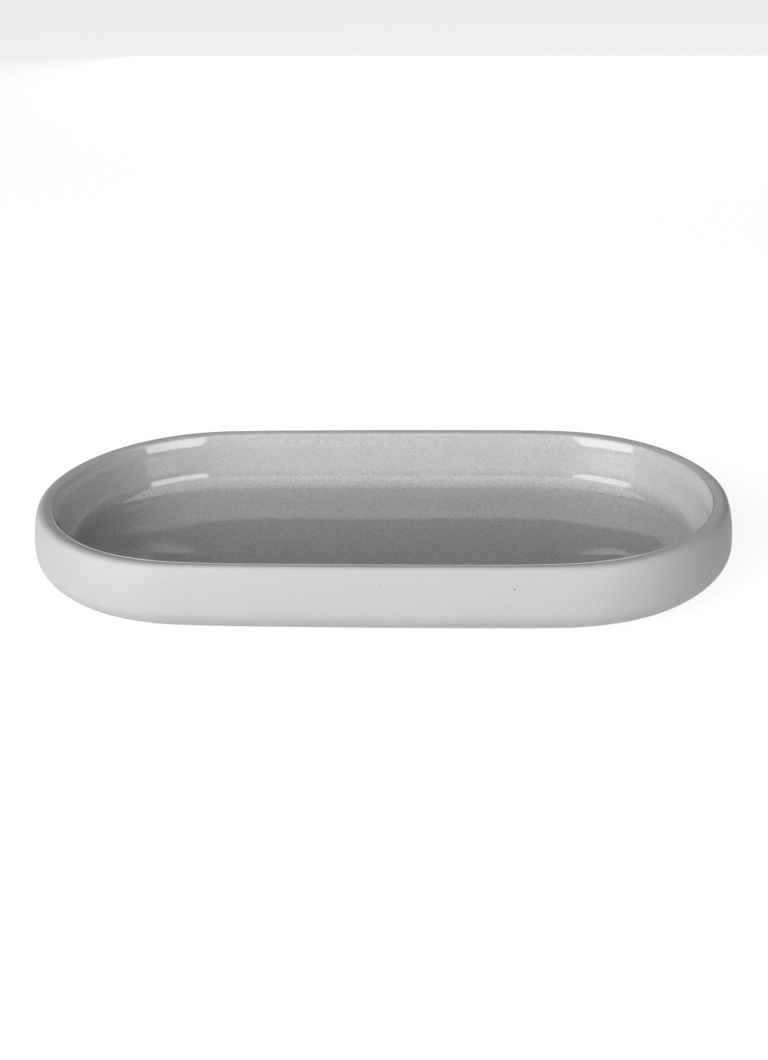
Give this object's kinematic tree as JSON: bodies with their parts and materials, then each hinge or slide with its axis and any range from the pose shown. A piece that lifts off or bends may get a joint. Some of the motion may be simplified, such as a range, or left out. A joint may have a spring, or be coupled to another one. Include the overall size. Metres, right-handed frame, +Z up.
{
  "type": "soap dish",
  "caption": "Low oblong ceramic soap dish with rounded ends, a glossy glazed well, a matt outside and rim, and soft pads under a recessed base.",
  "frame": {"origin": "middle of the plane that the dish stands on, under the middle of the dish", "axes": "+X along the long side, +Y towards the rear long side, +Z up; the picture is taken from the -Y side"},
  "size_m": [0.19, 0.096, 0.023],
  "materials": {
    "fired_clay": "bare fired clay, rough",
    "gloss_glaze": "glossy warm grey glaze",
    "matt_glaze": "matt pale grey glaze",
    "matt_glaze_underside": "matt pale grey glaze",
    "pad_silicone": "soft translucent silicone"
  },
  "bodies": {
    "root": {"ceramic_body": "fired_clay", "interior_glaze": "gloss_glaze", "outer_matt_glaze": "matt_glaze", "underside_glaze": "matt_glaze_underside", "pad_front_left": "pad_silicone", "pad_front_right": "pad_silicone", "pad_rear_left": "pad_silicone", "pad_rear_right": "pad_silicone"}
  },
  "joints": []
}
